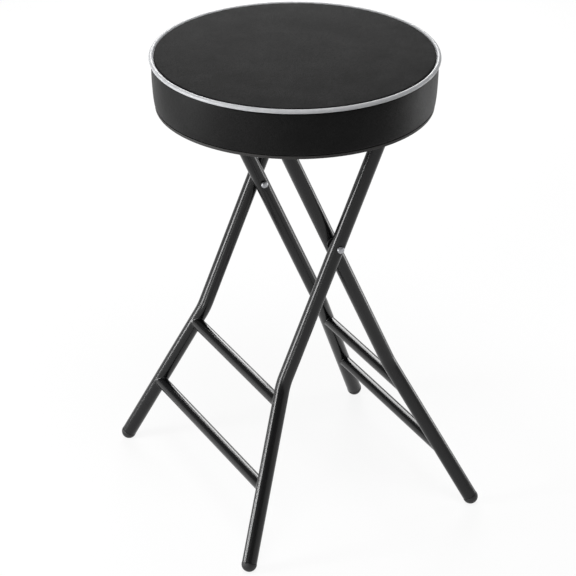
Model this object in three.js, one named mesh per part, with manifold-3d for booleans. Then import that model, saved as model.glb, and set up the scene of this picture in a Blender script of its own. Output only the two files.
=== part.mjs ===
// A folding bar stool: a round padded seat on two crossed frames of bent steel tube.
//
// The outer frame's feet stand towards -X and the inner frame's towards +X. The frames turn on two
// rivets, one on each side. The seat turns on a rod through the tops of the outer legs, and two
// steel rails under it hook over a bar between the tops of the inner legs.
// Lengths are millimetres, +Z is up, and the origin is on the floor under the middle of the whole
// stool, which is a little in front of the seat's centre.

import * as THREE from "three";
import { mergeVertices } from "three/addons/utils/BufferGeometryUtils.js";
import Module from "manifold-3d";

const wasm = await Module();
wasm.setup();

// What every fit shares
const CLEARANCE = 0.3; // between pieces that touch, slip in or turn on each other
const OVERRUN = 6; // how far a cut runs past what it cuts

// Stance. A lean is a leg's angle from upright, seen from the side, above its bend. Below the bend
// a leg splays outwards, and both frames lean a little more towards +X.
const PIVOT_HEIGHT = 385;
const OUTER_LEAN = THREE.MathUtils.degToRad(23.1);
const INNER_LEAN = THREE.MathUtils.degToRad(-24.3);
const LOWER_LEAN = THREE.MathUtils.degToRad(-1);
const SPLAY = THREE.MathUtils.degToRad(18);
const OUTER_HALF_WIDTH = 118.7;
const OUTER_BEND_DROP = 189.3; // along the leg, from the pivot to the bend
const INNER_BEND_DROP = 207.3;
const BEND_RADIUS = 60;

// Tubes and bars of the two frames. A crossbar's share is its way down a leg from the bend to the foot.
const TUBE_RADIUS = 9.5;
const TUBE_WALL = 1.2;
const OUTER_BAR = { radius: 8, wall: 1.2, upperShare: 0.108, lowerShare: 0.578 };
const INNER_BAR = { radius: 7.5, wall: 1.2, upperShare: 0.209, lowerShare: 0.659 };
const REST_BAR = { radius: 5.5, wall: 1.5, belowSeat: 22, edge: 6 };

// Foot plug: a domed head with a ribbed stem in the tube's end
const FOOT = { radius: 9.7, flat: 0.5, rim: 1.5, stem: 15, rib: 0.6, ribLength: 3.5, ribs: 2 };

// Plug that closes the top end of a leg
const TOP_PLUG = { head: 1.4, stem: 14 };

// Rivet and spacer of a pivot
const RIVET = { radius: 3, headRadius: 4.9, headHeight: 2.8 };
const SPACER = { radius: 9, thickness: 1.2 };

// Rod that the seat turns on, with its push-on end caps and the clips beside the rails
const ROD = { radius: 3.5, belowSeat: 12.5, edge: 6.5 };
const ROD_CAP = { radius: 4.6, depth: 1.5, crown: 0.9 };
const ROD_CLIP = { radius: 6.5, thickness: 1.2 };

// Seat, from the underside up. The cover's side band stands on the base panel and swells out under the
// piping, which its seam holds. The board, the panel and the insets are taken inwards from the cover.
const SEAT_UNDERSIDE = 532.6;
const BASE_PANEL = { inset: 0.8, thickness: 4, edge: 1 };
const BOARD = { slack: 0.4, thickness: 12 };
const COVER = {
  thickness: 1.2,
  seamRadius: 175.2,
  swell: 2.1,
  taper: 2.8,
  bandHeight: 59.1,
  footRound: 3.5,
  hem: 18,
};
const PIPING = { radius: 2.7, tuck: 0.1, flange: 2.3, flangeThickness: 0.7 };
const TOP_PANEL = { inset: 0.5, lip: 0.2, drop: 0.8, roll: 2.4, rise: 4.15, shoulder: 9.7 };
const FOAM = { corner: 6, sideRelief: 0.4 };

// Rails under the seat, each an angle of folded sheet with a hook at one end and an ear at the other
const RAIL = {
  legGap: 8.4,
  sheet: 2,
  fold: 3,
  flangeWidth: 22,
  hookMargin: 4.5,
  earMargin: 4.4,
  web: 11.5,
  earRadius: 8,
  hookWidth: 11,
  hookReach: 3.5,
  cheek: 5,
};
const SCREW = {
  radius: 1.9,
  headRadius: 4,
  headHeight: 2.2,
  faceShare: 0.7, // of the head's radius
  edgeShare: 0.35, // of the head's height
  intoBoard: 9,
  drive: 1.2,
  driveWidth: 1,
};
// A screw's place along its rail, from the hook end
const SCREW_PLACES = { hookShare: 0.095, middleShare: 0.473, earShare: 0.851 };

// How finely round shapes are cut
const TUBE_SIDES = 16;
const BEND_STEPS = 4;
const SMALL_SIDES = 14;
const SCREW_SIDES = 10;
const SEAT_SIDES = 48;
const ARC_STEPS = 3;
const PROFILE_STEPS = 5;

const FINISH = {
  powderCoat: { color: 0x1d1d1f, roughness: 0.32, metalness: 0.35 },
  plastic: { color: 0x161617, roughness: 0.6, metalness: 0 },
  vinyl: { color: 0x2a2a2b, roughness: 0.45, metalness: 0 },
  piping: { color: 0xc9c9cc, roughness: 0.3, metalness: 0.6 },
  zinc: { color: 0xc4c4c6, roughness: 0.35, metalness: 0.9 },
  foam: { color: 0xd9cf9a, roughness: 0.95, metalness: 0 },
  plywood: { color: 0xb48a5a, roughness: 0.8, metalness: 0 },
  hardboard: { color: 0x1f1d1c, roughness: 0.75, metalness: 0 },
};

// Values that follow from the ones above
const FOOT_CENTRE = FOOT.radius - FOOT.flat;
const INNER_HALF_WIDTH = OUTER_HALF_WIDTH - 2 * TUBE_RADIUS - SPACER.thickness - 2 * CLEARANCE;
const RAIL_HALF_SPACING = INNER_HALF_WIDTH - TUBE_RADIUS - RAIL.legGap;
const SCREW_ROW = RAIL_HALF_SPACING - RAIL.flangeWidth / 2 - RAIL.sheet / 2;
const ROD_HEIGHT = SEAT_UNDERSIDE - ROD.belowSeat;
const REST_BAR_HEIGHT = SEAT_UNDERSIDE - REST_BAR.belowSeat;
const BORE = TUBE_RADIUS - TUBE_WALL;
const STEM_RADIUS = BORE - CLEARANCE;
const BAND_FOOT = SEAT_UNDERSIDE + BASE_PANEL.thickness + CLEARANCE;
const BAND_FOOT_RADIUS = COVER.seamRadius + COVER.swell - COVER.taper;
const PIPING_HEIGHT = BAND_FOOT + COVER.bandHeight;
const PIPING_RING_RADIUS = COVER.seamRadius + PIPING.radius - PIPING.tuck;
const TOP_EDGE_RADIUS = COVER.seamRadius - TOP_PANEL.inset;
const TOP_EDGE_FOOT = PIPING_HEIGHT + PIPING.flangeThickness / 2 + CLEARANCE;
const ROLL_RADIUS = TOP_EDGE_RADIUS - TOP_PANEL.roll;
const ROLL_HEIGHT = TOP_EDGE_FOOT + COVER.thickness + TOP_PANEL.lip + TOP_PANEL.drop;

/** The manifold solid of a closed geometry. */
function solid(geometry) {
  const bare = geometry.clone();
  for (const name of Object.keys(bare.attributes)) {
    if (name !== "position") bare.deleteAttribute(name);
  }
  const merged = mergeVertices(bare);
  return new wasm.Manifold(
    new wasm.Mesh({
      numProp: 3,
      vertProperties: merged.attributes.position.array,
      triVerts: new Uint32Array(merged.index.array),
    }),
  );
}

/** The geometry of a manifold solid. */
function shell(made) {
  const mesh = made.getMesh();
  const geometry = new THREE.BufferGeometry();
  geometry.setAttribute("position", new THREE.BufferAttribute(new Float32Array(mesh.vertProperties), 3));
  geometry.setIndex(new THREE.BufferAttribute(new Uint32Array(mesh.triVerts), 1));
  geometry.computeVertexNormals();
  return geometry;
}

/** A geometry with others cut away from it. */
function cut(geometry, ...cutters) {
  return shell(cutters.reduce((left, cutter) => left.subtract(solid(cutter)), solid(geometry)));
}

/** A named mesh with a material of its own. */
function piece(name, geometry, finish) {
  const mesh = new THREE.Mesh(geometry, new THREE.MeshStandardMaterial(finish));
  mesh.name = name;
  return mesh;
}

/** A straight-sided path through corners, each rounded by an arc, with stations only where it bends. */
class BentPath extends THREE.Curve {
  constructor(corners, radius, steps) {
    super();
    this.stations = [];
    corners.forEach((corner, i) => this.addCorner(corners, corner, i, radius, steps));
  }

  addCorner(corners, corner, i, radius, steps) {
    const before = corners[i - 1];
    const after = corners[i + 1];
    const way = after ? after.clone().sub(corner).normalize() : null;
    const come = before ? corner.clone().sub(before).normalize() : null;
    if (!before || !after) {
      this.stations.push({ point: corner.clone(), tangent: way ?? come });
      return;
    }
    const turn = come.angleTo(way);
    const inset = radius * Math.tan(turn / 2);
    const centre = corner.clone().addScaledVector(come, -inset);
    const side = way.clone().addScaledVector(come, -way.dot(come)).normalize();
    centre.addScaledVector(side, radius);
    for (let step = 0; step <= steps; step++) {
      const angle = (turn * step) / steps;
      const point = centre.clone().addScaledVector(side, -radius * Math.cos(angle));
      point.addScaledVector(come, radius * Math.sin(angle));
      const tangent = come.clone().multiplyScalar(Math.cos(angle));
      this.stations.push({ point, tangent: tangent.addScaledVector(side, Math.sin(angle)) });
    }
  }

  station(u) {
    return this.stations[Math.round(u * (this.stations.length - 1))];
  }

  getPoint(u, target = new THREE.Vector3()) {
    return target.copy(this.station(u).point);
  }

  getPointAt(u, target) {
    return this.getPoint(u, target);
  }

  getTangentAt(u, target = new THREE.Vector3()) {
    return target.copy(this.station(u).tangent);
  }
}

/** A round section, with a bore where one is given. */
function section(radius, bore = 0) {
  const shape = new THREE.Shape().absarc(0, 0, radius, 0, 2 * Math.PI);
  if (bore > 0) shape.holes.push(new THREE.Path().absarc(0, 0, bore, 0, 2 * Math.PI));
  return shape;
}

/** A tube or rod along a bent path. */
function swept(path, radius, bore = 0, sides = TUBE_SIDES) {
  return new THREE.ExtrudeGeometry(section(radius, bore), {
    steps: path.stations.length - 1,
    curveSegments: sides / 2,
    extrudePath: path,
  });
}

/** A rod or tube along Y, centred on a point. */
function crossways(radius, length, centre, bore = 0, sides = SMALL_SIDES) {
  const geometry = new THREE.ExtrudeGeometry(section(radius, bore), {
    depth: length,
    bevelEnabled: false,
    curveSegments: sides / 2,
  });
  return geometry.rotateX(Math.PI / 2).translate(centre.x, centre.y + length / 2, centre.z);
}

/** A body turned about Z from an outline in radius and height. */
function turned(outline, sides) {
  return new THREE.LatheGeometry(outline.getPoints(ARC_STEPS), sides).rotateX(Math.PI / 2);
}

/** A turned body laid along a direction, its outline's height zero at a point. */
function turnedAlong(outline, sides, point, direction) {
  const turn = new THREE.Quaternion().setFromUnitVectors(new THREE.Vector3(0, 0, 1), direction);
  return turned(outline, sides).applyQuaternion(turn).translate(point.x, point.y, point.z);
}

/** An outline from points in radius and height. */
function outlineOf(points) {
  const path = new THREE.Path();
  points.forEach(([x, y], i) => (i ? path.lineTo(x, y) : path.moveTo(x, y)));
  return path;
}

/**
 * One crossed frame. Its group stands at the pivot and leans so that its legs run down -Z.
 * A leg's places are drops, counted down from the pivot in the plane of the two legs.
 */
class Frame {
  constructor(label, lean, halfWidth, bendDrop, topDrop) {
    this.label = label;
    this.halfWidth = halfWidth;
    this.bendDrop = bendDrop;
    this.topDrop = topDrop;
    const bendHeight = PIVOT_HEIGHT - bendDrop * Math.cos(lean);
    this.footDrop = bendDrop + (bendHeight - FOOT_CENTRE) / Math.cos(lean + LOWER_LEAN);
    this.group = new THREE.Group();
    this.group.position.z = PIVOT_HEIGHT;
    this.group.rotation.y = lean;
    this.group.updateMatrixWorld(true);
  }

  /** The leg's centre line point at a drop, on the side given by its sign. */
  at(side, drop) {
    const below = Math.max(drop - this.bendDrop, 0);
    const point = new THREE.Vector3(0, side * this.halfWidth, below - drop);
    return point.addScaledVector(this.lowerWay(side), below);
  }

  /** The way that a leg runs below its bend, one unit of drop long. */
  lowerWay(side) {
    return new THREE.Vector3(-Math.sin(LOWER_LEAN), side * Math.tan(SPLAY), -Math.cos(LOWER_LEAN));
  }

  /** A drop's place in the middle between the legs. */
  middle(drop) {
    return this.at(1, drop).setY(0);
  }

  /** A point of the frame in the stool's own frame. */
  placed(point) {
    return point.applyMatrix4(this.group.matrixWorld);
  }

  /** A leg's centre line, from its top end to the foot plug's rim. */
  legPath(side) {
    const way = this.lowerWay(side).normalize();
    const end = this.at(side, this.footDrop).addScaledVector(way, -FOOT.rim - CLEARANCE);
    const corners = [this.at(side, this.topDrop), this.at(side, this.bendDrop), end];
    return new BentPath(corners, BEND_RADIUS, BEND_STEPS);
  }

  /** The leg tube with its pivot hole and any others, each given by its drop and radius. */
  leg(side, holes) {
    const tube = swept(this.legPath(side), TUBE_RADIUS, BORE);
    const across = 2 * (TUBE_RADIUS + OVERRUN);
    const cutters = holes.map(({ drop, radius }) => crossways(radius, across, this.at(side, drop)));
    return cut(tube, ...cutters);
  }

  /** A bar between the legs, its ends shaped to the tubes that they are welded to. */
  bar(drop, radius, wall) {
    const tube = crossways(radius, 2 * this.at(1, drop).y, this.middle(drop), radius - wall);
    const legs = [1, -1].map((side) => swept(this.legPath(side), TUBE_RADIUS + CLEARANCE));
    return cut(tube, ...legs);
  }

  /** The plug in a leg's top end, bored across where a rod passes through it. */
  topPlug(side, boreDrop = null) {
    const outline = outlineOf([
      [0, TOP_PLUG.head + CLEARANCE],
      [TUBE_RADIUS - TUBE_WALL / 2, TOP_PLUG.head + CLEARANCE],
      [TUBE_RADIUS, TOP_PLUG.head - TUBE_WALL / 2 + CLEARANCE],
      [TUBE_RADIUS, CLEARANCE],
      [STEM_RADIUS, CLEARANCE],
      [STEM_RADIUS, -TOP_PLUG.stem + TUBE_WALL],
      [STEM_RADIUS - TUBE_WALL, -TOP_PLUG.stem],
      [0, -TOP_PLUG.stem],
    ].reverse());
    const up = new THREE.Vector3(0, 0, 1);
    const plug = turnedAlong(outline, TUBE_SIDES, this.at(side, this.topDrop), up);
    if (boreDrop === null) return plug;
    return cut(plug, crossways(ROD.radius + CLEARANCE, 2 * TUBE_RADIUS, this.at(side, boreDrop)));
  }

  /** The foot plug, in the stool's own frame, with the flat that it stands on. */
  foot(side) {
    const stemTop = -FOOT.rim - FOOT.stem;
    const outline = new THREE.Path().moveTo(0, stemTop);
    outline.lineTo(STEM_RADIUS - FOOT.rib - TUBE_WALL, stemTop);
    outline.lineTo(STEM_RADIUS - FOOT.rib, stemTop + TUBE_WALL);
    for (let rib = FOOT.ribs; rib > 0; rib--) {
      const middle = -FOOT.rim - (rib * FOOT.stem) / (FOOT.ribs + 1);
      outline.lineTo(STEM_RADIUS - FOOT.rib, middle - FOOT.ribLength / 2);
      outline.lineTo(STEM_RADIUS, middle + FOOT.ribLength / 2);
      outline.lineTo(STEM_RADIUS - FOOT.rib, middle + FOOT.ribLength / 2);
    }
    outline.lineTo(STEM_RADIUS - FOOT.rib, -FOOT.rim);
    outline.lineTo(FOOT.radius, -FOOT.rim);
    outline.absarc(0, 0, FOOT.radius, 0, Math.PI / 2);
    const way = this.lowerWay(side).normalize();
    const plug = turnedAlong(outline, TUBE_SIDES, this.at(side, this.footDrop), way);
    plug.applyMatrix4(this.group.matrixWorld);
    const centre = this.placed(this.at(side, this.footDrop));
    const floor = new THREE.BoxGeometry(4 * FOOT.radius, 4 * FOOT.radius, 2 * FOOT.radius);
    return cut(plug, floor.translate(centre.x, centre.y, -FOOT.radius));
  }
}

/** The frame whose legs stand outside, with the seat's rod through the tops of its legs. */
function outerFrame() {
  const rodDrop = (PIVOT_HEIGHT - ROD_HEIGHT) / Math.cos(OUTER_LEAN);
  const top = rodDrop - ROD.edge;
  const frame = new Frame("outer", OUTER_LEAN, OUTER_HALF_WIDTH, OUTER_BEND_DROP, top);
  const holes = [
    { drop: 0, radius: RIVET.radius + CLEARANCE },
    { drop: rodDrop, radius: ROD.radius + CLEARANCE },
  ];
  const feet = dressFrame(frame, OUTER_BAR, holes, rodDrop);
  return { frame, feet, rod: frame.placed(frame.middle(rodDrop)) };
}

/** The frame whose legs stand inside, with the bar that the seat rests on. */
function innerFrame() {
  const restDrop = (PIVOT_HEIGHT - REST_BAR_HEIGHT) / Math.cos(INNER_LEAN);
  const top = restDrop - REST_BAR.edge;
  const frame = new Frame("inner", INNER_LEAN, INNER_HALF_WIDTH, INNER_BEND_DROP, top);
  const holes = [{ drop: 0, radius: RIVET.radius + CLEARANCE }];
  const feet = dressFrame(frame, INNER_BAR, holes, null);
  const restBar = frame.bar(restDrop, REST_BAR.radius, REST_BAR.wall);
  frame.group.add(piece("inner_rest_bar", restBar, FINISH.powderCoat));
  return { frame, feet, bar: frame.placed(frame.middle(restDrop)) };
}

/** The legs, bars and plugs of a frame. The feet are returned apart, because they don't lean. */
function dressFrame(frame, bars, holes, boreDrop) {
  const feet = new THREE.Group();
  for (const [hand, side] of [["left", 1], ["right", -1]]) {
    frame.group.add(piece(`${frame.label}_leg_${hand}`, frame.leg(side, holes), FINISH.powderCoat));
    const plug = frame.topPlug(side, boreDrop);
    frame.group.add(piece(`${frame.label}_top_plug_${hand}`, plug, FINISH.plastic));
    feet.add(piece(`${frame.label}_foot_${hand}`, frame.foot(side), FINISH.plastic));
  }
  for (const [height, share] of [["upper", bars.upperShare], ["lower", bars.lowerShare]]) {
    const drop = THREE.MathUtils.lerp(frame.bendDrop, frame.footDrop, share);
    const bar = frame.bar(drop, bars.radius, bars.wall);
    frame.group.add(piece(`${frame.label}_crossbar_${height}`, bar, FINISH.powderCoat));
  }
  return feet;
}

/** The rivet and spacer that join the two frames on one side. */
function pivot(hand, side) {
  const group = new THREE.Group();
  const outer = OUTER_HALF_WIDTH + TUBE_RADIUS + CLEARANCE;
  const inner = INNER_HALF_WIDTH - TUBE_RADIUS - CLEARANCE;
  const dome = RIVET.headHeight;
  const outline = new THREE.Path().moveTo(0, inner - dome);
  outline.quadraticCurveTo(RIVET.headRadius, inner - dome, RIVET.headRadius, inner);
  outline.lineTo(RIVET.radius, inner);
  outline.lineTo(RIVET.radius, outer);
  outline.lineTo(RIVET.headRadius, outer);
  outline.quadraticCurveTo(RIVET.headRadius, outer + dome, 0, outer + dome);
  const along = new THREE.Vector3(0, side, 0);
  const centre = new THREE.Vector3(0, 0, PIVOT_HEIGHT);
  group.add(piece(`pivot_rivet_${hand}`, turnedAlong(outline, SMALL_SIDES, centre, along), FINISH.zinc));

  const start = INNER_HALF_WIDTH + TUBE_RADIUS + CLEARANCE;
  const ring = ringOutline(RIVET.radius + CLEARANCE, SPACER.radius, start, start + SPACER.thickness);
  const spacer = turnedAlong(ring, TUBE_SIDES, centre, along);
  group.add(piece(`pivot_spacer_${hand}`, spacer, FINISH.plastic));
  return group;
}

/** A ring's outline, closed on itself. */
function ringOutline(bore, radius, start, end) {
  return outlineOf([[bore, start], [radius, start], [radius, end], [bore, end], [bore, start]]);
}

/** The rod that the seat turns on, its end caps, and the clips that keep the rails in place. */
function hinge(centre) {
  const group = new THREE.Group();
  const outside = OUTER_HALF_WIDTH + TUBE_RADIUS;
  const rodLength = 2 * (outside + ROD_CAP.depth);
  group.add(piece("hinge_rod", crossways(ROD.radius, rodLength, centre, 0, TUBE_SIDES), FINISH.zinc));
  for (const [hand, side] of [["left", 1], ["right", -1]]) {
    const along = new THREE.Vector3(0, side, 0);
    const mouth = outside + CLEARANCE;
    const floor = rodLength / 2 + CLEARANCE;
    const crown = mouth + ROD_CAP.depth + ROD_CAP.crown;
    const cap = new THREE.Path().moveTo(0, floor);
    cap.lineTo(ROD.radius + CLEARANCE, floor);
    cap.lineTo(ROD.radius + CLEARANCE, mouth);
    cap.lineTo(ROD_CAP.radius, mouth);
    cap.lineTo(ROD_CAP.radius, crown - ROD_CAP.crown);
    cap.quadraticCurveTo(ROD_CAP.radius, crown, 0, crown);
    const capSolid = turnedAlong(cap, SMALL_SIDES, centre, along);
    group.add(piece(`hinge_rod_cap_${hand}`, capSolid, FINISH.zinc));

    const start = RAIL_HALF_SPACING + CLEARANCE;
    const ring = ringOutline(ROD.radius + CLEARANCE, ROD_CLIP.radius, start, start + ROD_CLIP.thickness);
    const clip = turnedAlong(ring, SMALL_SIDES, centre, along);
    group.add(piece(`hinge_rod_clip_${hand}`, clip, FINISH.zinc));
  }
  return group;
}

/** The seat's side seen as radius against height, its belly full under the piping. */
function sideRadius(height) {
  const share = THREE.MathUtils.clamp((height - BAND_FOOT) / COVER.bandHeight, 0, 1);
  return BAND_FOOT_RADIUS + COVER.taper * (1 - (1 - share) ** 2);
}

/** The top of the seat: the height of its crown at a radius, before the rolled edge. */
function crownHeight(radius) {
  return ROLL_HEIGHT + TOP_PANEL.rise * (1 - (radius / ROLL_RADIUS) ** 2);
}

/** Heights from one to another in equal steps. */
function ladder(from, to, steps) {
  return Array.from({ length: steps + 1 }, (_, i) => from + ((to - from) * i) / steps);
}

/** The top panel of the cover, a crowned sheet that rolls down to the piping. */
function coverTop() {
  const radii = ladder(0, TOP_EDGE_RADIUS - TOP_PANEL.shoulder, 4);
  const upper = radii.map((r) => [r, crownHeight(r)]);
  const lower = radii.map((r) => [r, crownHeight(r) - COVER.thickness]).reverse();
  return outlineOf([
    ...upper,
    [ROLL_RADIUS, ROLL_HEIGHT],
    [TOP_EDGE_RADIUS, ROLL_HEIGHT - TOP_PANEL.drop],
    [TOP_EDGE_RADIUS, TOP_EDGE_FOOT],
    [TOP_EDGE_RADIUS - COVER.thickness, TOP_EDGE_FOOT],
    [TOP_EDGE_RADIUS - COVER.thickness, TOP_EDGE_FOOT + TOP_PANEL.lip],
    ...lower,
  ].reverse());
}

/** The side band of the cover, from under the piping down and in under the board. */
function coverBand() {
  const turn = COVER.footRound;
  const top = PIPING_HEIGHT - PIPING.radius - CLEARANCE;
  const heights = ladder(BAND_FOOT + turn, top, 4);
  const outside = heights.map((z) => [sideRadius(z), z]);
  const inside = heights.map((z) => [sideRadius(z) - COVER.thickness, z]).reverse();
  const turnRadius = sideRadius(BAND_FOOT + turn);
  const hemRadius = turnRadius - COVER.hem;
  return outlineOf([
    [hemRadius, BAND_FOOT],
    [turnRadius - turn, BAND_FOOT],
    [turnRadius - turn * (1 - Math.SQRT1_2), BAND_FOOT + turn * (1 - Math.SQRT1_2)],
    ...outside,
    ...inside,
    [turnRadius - COVER.thickness, BAND_FOOT + COVER.thickness],
    [hemRadius, BAND_FOOT + COVER.thickness],
    [hemRadius, BAND_FOOT],
  ]);
}

/** The foam pad: crowned on top, drawn in at its sides, with a rounded upper corner. */
function foamOutline(bottom) {
  const skin = COVER.thickness + CLEARANCE;
  const cornerTop = crownHeight(TOP_EDGE_RADIUS - FOAM.corner) - skin;
  const cornerRadius = COVER.seamRadius - skin - FOAM.sideRelief;
  const heights = ladder(bottom, cornerTop - FOAM.corner, 3);
  const radii = ladder(cornerRadius - FOAM.corner, 0, 3);
  const side = heights.map((z) => [Math.min(sideRadius(z) - skin - FOAM.sideRelief, cornerRadius), z]);
  const crown = radii.map((r) => [r, crownHeight(r) - skin]);
  const bevel = FOAM.corner * (1 - Math.SQRT1_2);
  return outlineOf([[0, bottom], ...side, [cornerRadius - bevel, cornerTop - bevel], ...crown]);
}

/** The piping: a round bead with the flange that is sewn between top panel and band. */
function pipingOutline() {
  const half = PIPING.flangeThickness / 2;
  const mouth = Math.asin(half / PIPING.radius);
  const inner = COVER.seamRadius - COVER.thickness - PIPING.flange;
  const outline = new THREE.Path().moveTo(inner, PIPING_HEIGHT + half);
  outline.lineTo(inner, PIPING_HEIGHT - half);
  const turn = [Math.PI + mouth, 3 * Math.PI - mouth];
  outline.absarc(PIPING_RING_RADIUS, PIPING_HEIGHT, PIPING.radius, ...turn);
  outline.lineTo(inner, PIPING_HEIGHT + half);
  return outline;
}

/** Where a rail ends and where its screws are, along X, for the rod and the bar that it joins. */
function railPlaces(rod, bar) {
  const hookFace = bar.x - REST_BAR.radius - CLEARANCE - RAIL.hookWidth;
  const hookEnd = hookFace - RAIL.hookMargin;
  const earEnd = rod.x + RAIL.earRadius + RAIL.earMargin;
  const screwAt = {
    hook: THREE.MathUtils.lerp(hookEnd, earEnd, SCREW_PLACES.hookShare),
    middle: THREE.MathUtils.lerp(hookEnd, earEnd, SCREW_PLACES.middleShare),
    ear: THREE.MathUtils.lerp(hookEnd, earEnd, SCREW_PLACES.earShare),
  };
  return { hookFace, hookEnd, earEnd, screwAt };
}

/** Cutters for the screw holes of both rails, of one radius, up to one height. */
function screwHoles(places, radius, top) {
  const bottom = SEAT_UNDERSIDE - OVERRUN;
  return Object.values(places.screwAt).flatMap((x) =>
    [SCREW_ROW, -SCREW_ROW].map((row) => {
      const cutter = new THREE.CylinderGeometry(radius, radius, top - bottom, SCREW_SIDES);
      return cutter.rotateX(Math.PI / 2).translate(x, row, (top + bottom) / 2);
    }),
  );
}

/** The seat's own pieces, from the base panel up to the piping. */
function seat(places) {
  const group = new THREE.Group();
  const panelTop = SEAT_UNDERSIDE + BASE_PANEL.thickness;
  const panelRadius = BAND_FOOT_RADIUS - BASE_PANEL.inset;
  const panel = outlineOf([
    [0, SEAT_UNDERSIDE],
    [panelRadius - BASE_PANEL.edge, SEAT_UNDERSIDE],
    [panelRadius, SEAT_UNDERSIDE + BASE_PANEL.edge],
    [panelRadius, panelTop],
    [0, panelTop],
  ]);
  const holeRadius = SCREW.radius + CLEARANCE;
  const panelHoles = screwHoles(places, holeRadius, panelTop + OVERRUN);
  group.add(piece("seat_base_panel", cut(turned(panel, SEAT_SIDES), ...panelHoles), FINISH.hardboard));

  const boardFoot = panelTop + COVER.thickness + 2 * CLEARANCE;
  const boardTop = boardFoot + BOARD.thickness;
  const boardRadius = BAND_FOOT_RADIUS - COVER.thickness - CLEARANCE - BOARD.slack;
  const board = outlineOf([[0, boardFoot], [boardRadius, boardFoot], [boardRadius, boardTop], [0, boardTop]]);
  const pilots = screwHoles(places, holeRadius, boardFoot + SCREW.intoBoard + CLEARANCE);
  group.add(piece("seat_board", cut(turned(board, SEAT_SIDES), ...pilots), FINISH.plywood));

  group.add(piece("seat_foam", turned(foamOutline(boardTop + CLEARANCE), SEAT_SIDES), FINISH.foam));
  group.add(piece("seat_cover_top", turned(coverTop(), SEAT_SIDES), FINISH.vinyl));
  group.add(piece("seat_cover_band", turned(coverBand(), SEAT_SIDES), FINISH.vinyl));
  group.add(piece("seat_piping", turned(pipingOutline(), SEAT_SIDES), FINISH.piping));
  return { group, boardFoot };
}

/** A rail's side view: the flange's top edge, the ear round the rod, and the hook over the bar. */
function railProfile(places, rod, bar) {
  const top = SEAT_UNDERSIDE - CLEARANCE;
  const web = top - RAIL.web;
  const grip = REST_BAR.radius + CLEARANCE;
  const tip = bar.z - RAIL.hookReach;
  const shape = new THREE.Shape().moveTo(places.hookEnd, top);
  shape.lineTo(places.hookEnd, top - RAIL.cheek);
  shape.lineTo(places.hookFace, bar.z);
  shape.lineTo(places.hookFace, tip);
  shape.lineTo(bar.x - grip, tip);
  shape.absarc(bar.x, bar.z, grip, Math.PI, Math.PI / 2, true);
  shape.lineTo(bar.x + RAIL.cheek, bar.z + grip);
  shape.lineTo(bar.x + RAIL.cheek + grip, web);
  shape.lineTo(rod.x - RAIL.earRadius - RAIL.cheek, web);
  shape.lineTo(rod.x - RAIL.earRadius, rod.z);
  shape.absarc(rod.x, rod.z, RAIL.earRadius, Math.PI, 2 * Math.PI, false);
  shape.lineTo(places.earEnd, top - RAIL.cheek);
  shape.lineTo(places.earEnd, top);
  return shape;
}

/** A folded angle along X: an upright web and a flange under the seat, turned towards the middle. */
function angleBar(places, side, depth) {
  const top = SEAT_UNDERSIDE - CLEARANCE;
  const { sheet, fold, flangeWidth } = RAIL;
  const shape = new THREE.Shape().moveTo(0, top - depth);
  shape.lineTo(0, top - fold);
  shape.absarc(-fold, top - fold, fold, 0, Math.PI / 2, false);
  shape.lineTo(-flangeWidth, top);
  shape.lineTo(-flangeWidth, top - sheet);
  shape.lineTo(-fold, top - sheet);
  shape.absarc(-fold, top - fold, fold - sheet, Math.PI / 2, 0, true);
  shape.lineTo(-sheet, top - depth);
  const bar = new THREE.ExtrudeGeometry(shape, {
    depth: places.earEnd - places.hookEnd,
    bevelEnabled: false,
    curveSegments: ARC_STEPS,
  });
  // The section's own x runs along Y and its own y along Z.
  bar.applyMatrix4(new THREE.Matrix4().set(0, 0, 1, places.hookEnd, 1, 0, 0, 0, 0, 1, 0, 0, 0, 0, 0, 1));
  bar.translate(0, RAIL_HALF_SPACING, 0);
  return side > 0 ? bar : mirrored(bar);
}

/** A geometry mirrored across the XZ plane, with its faces still pointing out. */
function mirrored(geometry) {
  const flipped = geometry.index ? geometry.toNonIndexed() : geometry.clone();
  flipped.scale(1, -1, 1);
  const places = flipped.attributes.position;
  const swap = new THREE.Vector3();
  const other = new THREE.Vector3();
  for (let i = 0; i < places.count; i += 3) {
    swap.fromBufferAttribute(places, i + 1);
    other.fromBufferAttribute(places, i + 2);
    places.setXYZ(i + 1, other.x, other.y, other.z);
    places.setXYZ(i + 2, swap.x, swap.y, swap.z);
  }
  return flipped;
}

/** The two rails, cut from folded angle, with their holes. */
function rails(places, rod, bar) {
  const group = new THREE.Group();
  const depth = SEAT_UNDERSIDE - bar.z + RAIL.hookReach + OVERRUN;
  const width = 2 * RAIL_HALF_SPACING + 2 * OVERRUN;
  const block = new THREE.ExtrudeGeometry(railProfile(places, rod, bar), {
    depth: width,
    bevelEnabled: false,
    curveSegments: PROFILE_STEPS,
  });
  block.rotateX(Math.PI / 2).translate(0, width / 2, 0);
  const rodHole = crossways(ROD.radius + CLEARANCE, width, rod, 0, TUBE_SIDES);
  const holes = screwHoles(places, SCREW.radius + CLEARANCE, SEAT_UNDERSIDE + OVERRUN);
  for (const [hand, side] of [["left", 1], ["right", -1]]) {
    const blank = shell(solid(angleBar(places, side, depth)).intersect(solid(block)));
    group.add(piece(`seat_rail_${hand}`, cut(blank, rodHole, ...holes), FINISH.powderCoat));
  }
  return group;
}

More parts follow.
